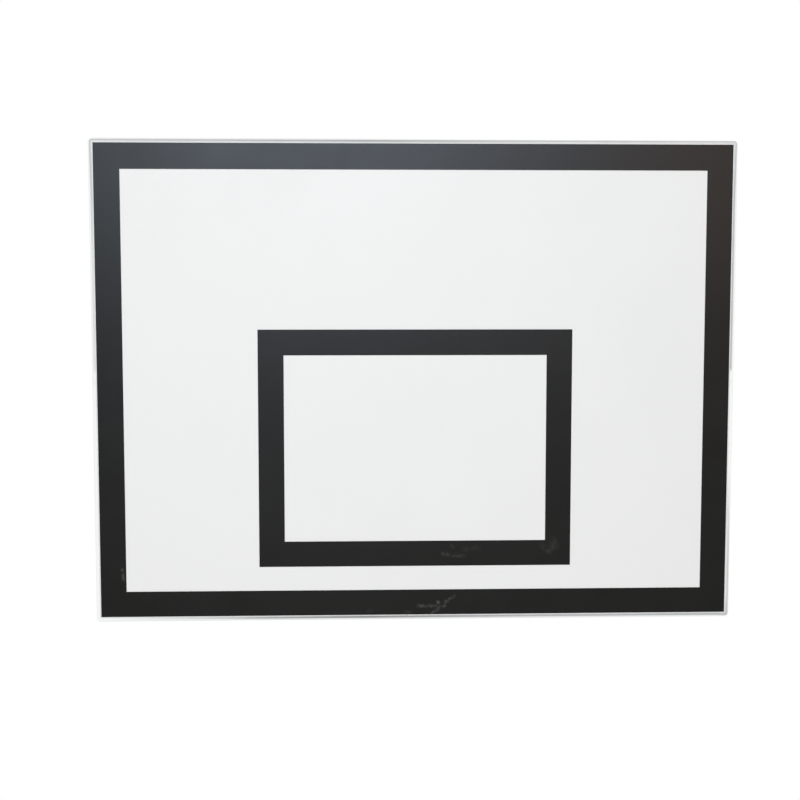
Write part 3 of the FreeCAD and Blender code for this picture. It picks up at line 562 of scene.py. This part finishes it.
ZINC_LIGHT = paint(200, 204, 207)
ZINC_MIDDLE = paint(168, 173, 177)
ZINC_BLOOM = paint(214, 216, 216)
CRYSTAL_WARP_SHARE = 0.012
CRYSTAL_DEPTH = 0.00004
FRAME_TUBES = (
    "frame_top_rail", "frame_left_stile", "frame_right_stile",
    "frame_bottom_rail_left", "frame_bottom_rail_right",
    "frame_upright_left", "frame_upright_right",
    "frame_side_rail_left", "frame_side_rail_right",
)

galvanised, tree, shader = new_finish("galvanised_steel")
warp = add(tree, "ShaderNodeTexNoise", {"Vector": place(tree), "Scale": 60.0, "Detail": 2.0})
warped_place = add(tree, "ShaderNodeMix", {
    0: CRYSTAL_WARP_SHARE, 4: place(tree), 5: warp.outputs["Color"],
}, data_type="VECTOR").outputs[1]
crystals = add(tree, "ShaderNodeTexVoronoi", {"Vector": warped_place, "Scale": 95.0})
crystal_tone = add(tree, "ShaderNodeSeparateColor", {0: crystals.outputs["Color"]}).outputs[0]
feathers = noise(tree, place(tree), scale=520.0, detail=3.0, roughness=0.6, distortion=1.2)
bloom = noise(tree, place(tree), scale=9.0, detail=5.0, roughness=0.62, distortion=0.6)
zinc_colour = blend(tree, crystal_tone, ZINC_MIDDLE, ZINC_LIGHT)
zinc_colour = blend(tree, spread(tree, feathers, 0.45, 0.8, to_high=0.45), zinc_colour, ZINC_MIDDLE)
zinc_colour = blend(tree, spread(tree, bloom, 0.5, 0.75, to_high=0.6), zinc_colour, ZINC_BLOOM)
coat(tree, shader, zinc_colour, spread(tree, crystal_tone, 0.0, 1.0, to_low=0.36, to_high=0.52))
shader.inputs["Metallic"].default_value = 0.9
emboss(tree, shader, crystal_tone, CRYSTAL_DEPTH)
dress(galvanised, *FRAME_TUBES)


# The plugs: black moulded caps pressed into the open lower ends of the two uprights.
# The mould has left a fine grain on them.

PLUG_BLACK = paint(30, 30, 31)
PLUG_GREY = paint(44, 44, 45)
MOULD_GRAIN_DEPTH = 0.00006

plug_plastic, tree, shader = new_finish("plug_plastic")
mould_grain = noise(tree, place(tree), scale=700.0)
mould_flow = noise(tree, place(tree), scale=60.0, detail=3.0)
plug_colour = blend(tree, spread(tree, mould_flow, 0.4, 0.7), PLUG_BLACK, PLUG_GREY)
coat(tree, shader, plug_colour, spread(tree, mould_grain, 0.3, 0.7, to_low=0.45, to_high=0.6))
emboss(tree, shader, mould_grain, MOULD_GRAIN_DEPTH)
dress(plug_plastic, "upright_plug_left", "upright_plug_right")


# The ring plate, the two mounting bars, the corner gussets and the fixing tabs: cut from flat steel,
# welded into the frame before it is dipped, so they carry the same zinc.

GUSSET_PLACES = ("top_left", "top_right", "bottom_left", "bottom_right")
TAB_PLACES = (
    "top_left", "top_centre", "top_right", "bottom_left", "bottom_right",
    "left_upper", "left_lower", "right_upper", "right_lower",
)
gussets = [f"corner_gusset_{name}" for name in GUSSET_PLACES]
tabs = [f"fixing_tab_{name}" for name in TAB_PLACES]
bars = ["mounting_bar_upper", "mounting_bar_lower"]
dress(galvanised, "ring_plate", *bars, *gussets, *tabs)


# The welds: one bead in each joint of the frame, laid by hand in small overlapping ripples.
# Tubes are welded across the back and down both sides, plates along the edges that meet a tube.

BEAD_RADIUS = 0.0027
BEAD_SINK = 0.0016
BEAD_FROM_EDGE = 0.0035
BEAD_SIDES = 10
RIPPLE_PITCH = 0.0026
RIPPLE_DEPTH = 0.00022
UNEVEN_RIPPLES = 2.5
RING_SPACING = 0.0006
END_TAPER_CURVE = 8.0
STITCH_LENGTH = 0.030
PLATE_STITCH_SHARES = (0.15, 0.5, 0.85)

rail_low, rail_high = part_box("frame_top_rail")
tube_front = rail_low.y
tube_back = rail_high.y
tube_side = rail_high.z - rail_low.z
bead_back = tube_back - BEAD_SINK
weld_points = []
weld_edges = []


def weld(start, end):
    """One straight bead, kept as two points and the edge between them."""
    weld_edges.append((len(weld_points), len(weld_points) + 1))
    weld_points.extend((start, end))


def weld_across(up, depth, ends):
    """A level bead, between its ends across the board."""
    weld(*[(across, depth, up) for across in ends])


def weld_up(across, depth, ends):
    """An upright bead, between its ends up the board."""
    weld(*[(across, depth, up) for up in ends])


def weld_deep(across, up):
    """A bead down the side of a tube, from near its front to near its back."""
    weld((across, tube_front + 2 * BEAD_FROM_EDGE, up), (across, tube_back - BEAD_FROM_EDGE, up))


def within(low, high):
    """The ends of a bead that stops short of both edges."""
    return (low + BEAD_FROM_EDGE, high - BEAD_FROM_EDGE)


def stitch(middle):
    """The ends of a short bead about a middle."""
    return (middle - STITCH_LENGTH / 2, middle + STITCH_LENGTH / 2)


for side in (-1, 1):
    for level in (-1, 1):
        outer_across = side * (rail_high.x - BEAD_FROM_EDGE)
        outer_up = level * (rail_high.z - BEAD_FROM_EDGE)
        inner_across = side * (rail_high.x - tube_side)
        inner_up = level * (rail_high.z - tube_side)
        weld((outer_across, bead_back, outer_up), (inner_across, bead_back, inner_up))
        weld_deep(inner_across, inner_up)

for side in ("left", "right"):
    low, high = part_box(f"frame_upright_{side}")
    upright_outside = low.x if side == "left" else high.x
    upright_ends = within(low.x, high.x)
    weld_across(high.z, bead_back, upright_ends)
    for across in (low.x, high.x):
        weld_deep(across, high.z)
    for bar in bars:
        low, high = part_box(bar)
        for edge in (low.z, high.z):
            weld_across(edge, tube_back, upright_ends)

    low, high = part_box(f"frame_side_rail_{side}")
    joints = [(low.x, low.z, high.z), (high.x, low.z, high.z)]
    low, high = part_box(f"frame_bottom_rail_{side}")
    joints.append((upright_outside, low.z, high.z))
    for across, bottom, top in joints:
        weld_up(across, bead_back, within(bottom, top))
        for edge in (bottom, top):
            weld_deep(across, edge)

    low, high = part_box("ring_plate")
    plate_edge = low.x if side == "left" else high.x
    for share in PLATE_STITCH_SHARES:
        weld_up(plate_edge, high.y, stitch(low.z + share * (high.z - low.z)))

for name, gusset in zip(GUSSET_PLACES, gussets):
    low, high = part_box(gusset)
    rail_edge = high.z if "top" in name else low.z
    stile_edge = low.x if "left" in name else high.x
    weld_across(rail_edge, high.y, stitch((low.x + high.x) / 2))
    weld_up(stile_edge, high.y, stitch((low.z + high.z) / 2))

for name, tab in zip(TAB_PLACES, tabs):
    low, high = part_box(tab)
    if name.startswith(("top", "bottom")):
        foot = high.z if name.startswith("top") else low.z
        weld_across(foot, high.y, within(low.x, high.x))
    else:
        foot = low.x if name.startswith("left") else high.x
        weld_up(foot, high.y, within(low.z, high.z))


def bead_tree():
    """Geometry Nodes: a round bead along each edge, rippled along its length and tapered at its ends."""
    group, given, result = new_group("weld_bead", "GeometryNodeTree", {
        "Lines": "Geometry", "Bead Radius": "Float", "Ripple Pitch": "Float", "Ripple Depth": "Float",
        "Ring Spacing": "Float", "Finish": "Material",
    }, {"Beads": "Geometry"})
    line = add(group, "GeometryNodeMeshToCurve", {"Mesh": given["Lines"]})
    rings = add(group, "GeometryNodeResampleCurve", {
        "Curve": line.outputs["Curve"], "Length": given["Ring Spacing"],
    }, mode="LENGTH")
    parameter = add(group, "GeometryNodeSplineParameter").outputs
    capture = add(group, "GeometryNodeCaptureAttribute")
    capture.capture_items.new("FLOAT", "Along")
    group.links.new(rings.outputs["Curve"], capture.inputs["Geometry"])
    group.links.new(parameter["Length"], capture.inputs["Along"])
    from_middle = reckon(group, "ABSOLUTE", reckon(group, "SUBTRACT", parameter["Factor"], 0.5))
    to_end = reckon(group, "POWER", reckon(group, "MULTIPLY", from_middle, 2.0), END_TAPER_CURVE)
    section = add(group, "GeometryNodeCurvePrimitiveCircle", {
        "Resolution": BEAD_SIDES, "Radius": given["Bead Radius"],
    })
    bead = add(group, "GeometryNodeCurveToMesh", {
        "Curve": capture.outputs["Geometry"], "Profile Curve": section.outputs["Curve"],
        "Scale": spread(group, to_end, 0.0, 1.0, to_low=1.0, to_high=0.3), "Fill Caps": True,
    })
    unevenness = add(group, "ShaderNodeTexNoise", {"Scale": 160.0, "Detail": 2.0}).outputs["Fac"]
    turns = reckon(group, "DIVIDE", capture.outputs["Along"], given["Ripple Pitch"])
    wave = reckon(group, "FRACT", reckon(group, "ADD", turns, unevenness))
    swell = spread(group, unevenness, 0.0, 1.0, to_low=-UNEVEN_RIPPLES, to_high=UNEVEN_RIPPLES)
    rise = reckon(group, "MULTIPLY", reckon(group, "ADD", wave, swell), given["Ripple Depth"])
    normal = add(group, "GeometryNodeInputNormal").outputs["Normal"]
    rippled = add(group, "GeometryNodeSetPosition", {
        "Geometry": bead.outputs["Mesh"], "Offset": vector_sum(group, "MULTIPLY", normal, rise),
    })
    smooth = add(group, "GeometryNodeSetShadeSmooth", {"Geometry": rippled.outputs["Geometry"]})
    real = add(group, "GeometryNodeRealizeInstances", {"Geometry": smooth.outputs["Geometry"]})
    coated = add(group, "GeometryNodeSetMaterial", {
        "Geometry": real.outputs["Geometry"], "Material": given["Finish"],
    })
    group.links.new(coated.outputs["Geometry"], result.inputs["Beads"])
    return group


weld_beads = grown("weld_beads", weld_points, weld_edges, bead_tree(), {
    "Bead Radius": BEAD_RADIUS, "Ripple Pitch": RIPPLE_PITCH, "Ripple Depth": RIPPLE_DEPTH,
    "Ring Spacing": RING_SPACING, "Finish": galvanised,
})
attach(weld_beads, "root")


# The panel screws: hexagon heads with a pressed washer, one in each gusset and tab.
# They pull the board against the frame from behind.

HEXAGON_HALF = 0.004
HEXAGON_HEIGHT = 0.003
HEXAGON_CHAMFER = 0.0004
HEXAGON_STEPS = 30
HEXAGON_SEED = 11
WASHER_RADIUS = 0.0058
WASHER_HEIGHT = 0.0008
DISH_RADIUS = 0.0026
DISH_DEPTH = 0.0003


def hexagon_head():
    """A hexagon head with a washer under it and a shallow dish on top, its underside at zero."""
    turns = [FULL_TURN * step / HEXAGON_STEPS for step in range(HEXAGON_STEPS)]
    sixth = FULL_TURN / 6
    hexagon = [(HEXAGON_HALF / math.cos((turn + sixth / 2) % sixth - sixth / 2), turn) for turn in turns]

    def circle(radius):
        return [(radius, turn) for turn in turns]

    return lofted("hexagon_screw", [
        (0.0, circle(WASHER_RADIUS)),
        (WASHER_HEIGHT / 2, circle(WASHER_RADIUS)),
        (WASHER_HEIGHT, circle(WASHER_RADIUS - WASHER_HEIGHT / 2)),
        (WASHER_HEIGHT, hexagon),
        (HEXAGON_HEIGHT - HEXAGON_CHAMFER, hexagon),
        (HEXAGON_HEIGHT, circle(HEXAGON_HALF - HEXAGON_CHAMFER / 2)),
        (HEXAGON_HEIGHT, circle(DISH_RADIUS)),
    ], HEXAGON_HEIGHT - DISH_DEPTH)


hexagon_screw = bpy.data.objects.new("hexagon_screw", hexagon_head())
panel_seats = screw_seats("panel_screws", HEXAGON_HEIGHT)
panel_screws = grown("panel_screw_heads", panel_seats, [], screws_on_points, {
    "Screw": hexagon_screw, "Largest Turn": FULL_TURN, "Seed": HEXAGON_SEED, "Finish": zinc_plating,
})
bpy.data.objects.remove(hexagon_screw)
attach(panel_screws, "root")
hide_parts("panel_screws")


# The studio: the board hangs above a pale floor that fades into a white backdrop. A soft lamp lights the
# face from up on the left and another the back. A sheer silk in front, lit from behind in three places,
# is seen only in the satin face and lines: cool from above, a little warm from the right.

WHITE = paint(255, 255, 255)
FLOOR_PALE = paint(240, 240, 239)
FLOOR_LEVEL = -1.45
FLOOR_REACH = 14.0
FLOOR_FADE_FROM = 0.5
FLOOR_FADE_TO = 1.5
AMBIENT_STRENGTH = 0.68
KEY_COLOUR = paint(253, 255, 255)
KEY_PLACE = (-0.34, -2.7, 0.66)
KEY_SIZE = (1.6, 1.2)
KEY_POWER = 28.0
BACK_COLOUR = paint(255, 253, 250)
BACK_PLACE = (1.3, 2.6, 1.5)
BACK_SIZE = (2.6, 2.0)
BACK_POWER = 36.0
SILK_HALF_WIDTH = 2.6
SILK_LOW = -1.4
SILK_HIGH = 2.8
SILK_DEPTH = -2.9
SILK_GLOWS = (
    # colour, then centre and reach, each across and up in metres, then strength
    (paint(221, 236, 255), (-0.3, 1.0), (0.68, 0.47), 15.5),
    (paint(255, 204, 168), (1.5, 0.8), (0.46, 0.38), 3.1),
    (WHITE, (-0.1, -0.68), (0.5, 0.34), 0.75),
)
LENS_MILLIMETRES = 60.0
SENSOR_MILLIMETRES = 36.0
CAMERA_PLACE = (-0.118, -2.542, 0.176)
CAMERA_TILT = math.radians(85.2)
CAMERA_TURN = math.radians(-2.05)


def seen_directly(tree):
    """1 where a ray comes from the camera, or from a mirror-like or clear surface, and 0 elsewhere."""
    rays = add(tree, "ShaderNodeLightPath").outputs
    bright = reckon(tree, "MAXIMUM", rays["Is Camera Ray"], rays["Is Glossy Ray"])
    return reckon(tree, "MAXIMUM", bright, rays["Is Transmission Ray"])


def panel(name, corners, material):
    """A flat four-sided sheet of the studio."""
    mesh = bpy.data.meshes.new(name)
    mesh.from_pydata(corners, [], [(0, 1, 2, 3)])
    mesh.materials.append(material)
    sheet = bpy.data.objects.new(name, mesh)
    bpy.context.scene.collection.objects.link(sheet)
    sheet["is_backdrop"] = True
    return sheet


def softbox(name, location, size, power, colour):
    """An area lamp that faces the middle of the board."""
    lamp = bpy.data.lights.new(name, "AREA")
    lamp.shape = "RECTANGLE"
    lamp.size, lamp.size_y = size
    lamp.energy = power
    lamp.color = colour[:3]
    stand = bpy.data.objects.new(name, lamp)
    bpy.context.scene.collection.objects.link(stand)
    stand.location = location
    stand.rotation_euler = (-stand.location).to_track_quat("-Z", "Y").to_euler()
    stand.visible_camera = False
    return stand


def silk_glow(tree, centre, reach, strength):
    """The light of one lamp behind the silk: a round glow about its own centre."""
    across, up = centre
    reach_across, reach_up = reach
    shift = (-across / reach_across, 0.0, -up / reach_up)
    where = place(tree, scale=(1 / reach_across, 0.0, 1 / reach_up), location=shift)
    square = vector_sum(tree, "DOT_PRODUCT", where, where)
    fall = reckon(tree, "POWER", math.e, reckon(tree, "MULTIPLY", square, -0.5))
    return reckon(tree, "MULTIPLY", fall, strength)


floor_finish, tree, shader = new_finish("studio_floor")
shader.inputs["Base Color"].default_value = FLOOR_PALE
shader.inputs["Roughness"].default_value = 0.9
shader.inputs["Specular IOR Level"].default_value = 0.0
from_centre = vector_sum(tree, "DISTANCE", place(tree, scale=(1.0, 1.0, 0.0)), (0.0, 0.0, 0.0))
far_off = spread(tree, from_centre, FLOOR_FADE_FROM, FLOOR_FADE_TO)
backdrop_white = add(tree, "ShaderNodeEmission", {"Color": WHITE, "Strength": 1.0})
floor_mix = add(tree, "ShaderNodeMixShader", {
    0: reckon(tree, "MULTIPLY", far_off, seen_directly(tree)),
    1: shader.outputs["BSDF"], 2: backdrop_white.outputs["Emission"],
})
tree.links.new(floor_mix.outputs["Shader"], tree.nodes["Material Output"].inputs["Surface"])
panel("studio_floor", [
    (-FLOOR_REACH, -FLOOR_REACH, FLOOR_LEVEL), (FLOOR_REACH, -FLOOR_REACH, FLOOR_LEVEL),
    (FLOOR_REACH, FLOOR_REACH, FLOOR_LEVEL), (-FLOOR_REACH, FLOOR_REACH, FLOOR_LEVEL),
], floor_finish)

world = bpy.data.worlds.new("studio_white")
bpy.context.scene.world = world
world.use_nodes = True
tree = world.node_tree
ambient = tree.nodes["Background"]
ambient.inputs["Color"].default_value = WHITE
ambient.inputs["Strength"].default_value = AMBIENT_STRENGTH
backdrop = add(tree, "ShaderNodeBackground", {"Color": WHITE, "Strength": 1.0})
world_mix = add(tree, "ShaderNodeMixShader", {
    0: seen_directly(tree), 1: ambient.outputs["Background"], 2: backdrop.outputs["Background"],
})
tree.links.new(world_mix.outputs["Shader"], tree.nodes["World Output"].inputs["Surface"])

key = softbox("key_softbox", KEY_PLACE, KEY_SIZE, KEY_POWER, KEY_COLOUR)
key.visible_glossy = False
softbox("back_softbox", BACK_PLACE, BACK_SIZE, BACK_POWER, BACK_COLOUR)

silk_finish, tree = new_finish("studio_silk")[:2]
silk_look = add(tree, "ShaderNodeBsdfTransparent").outputs["BSDF"]
for colour, centre, reach, strength in SILK_GLOWS:
    brightness = silk_glow(tree, centre, reach, strength)
    glow = add(tree, "ShaderNodeEmission", {"Color": colour, "Strength": brightness})
    both = add(tree, "ShaderNodeAddShader", {0: silk_look, 1: glow.outputs["Emission"]})
    silk_look = both.outputs["Shader"]
tree.links.new(silk_look, tree.nodes["Material Output"].inputs["Surface"])
silk = panel("studio_silk", [
    (-SILK_HALF_WIDTH, SILK_DEPTH, SILK_LOW), (-SILK_HALF_WIDTH, SILK_DEPTH, SILK_HIGH),
    (SILK_HALF_WIDTH, SILK_DEPTH, SILK_HIGH), (SILK_HALF_WIDTH, SILK_DEPTH, SILK_LOW),
], silk_finish)
silk.visible_camera = False
silk.visible_diffuse = False
silk.visible_transmission = False
silk.visible_shadow = False
satin_pieces = bpy.data.collections.new("satin_pieces")
for name in ("face_sheet", *line_names):
    satin_pieces.objects.link(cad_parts[name])
silk.light_linking.receiver_collection = satin_pieces

camera_data = bpy.data.cameras.new("photo_camera")
camera_data.sensor_width = SENSOR_MILLIMETRES
camera_data.lens = LENS_MILLIMETRES
camera = bpy.data.objects.new("photo_camera", camera_data)
bpy.context.scene.collection.objects.link(camera)
camera.location = CAMERA_PLACE
camera.rotation_euler = (CAMERA_TILT, 0.0, CAMERA_TURN)
bpy.context.scene.camera = camera
bpy.context.scene.view_settings.view_transform = "Standard"

low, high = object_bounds()
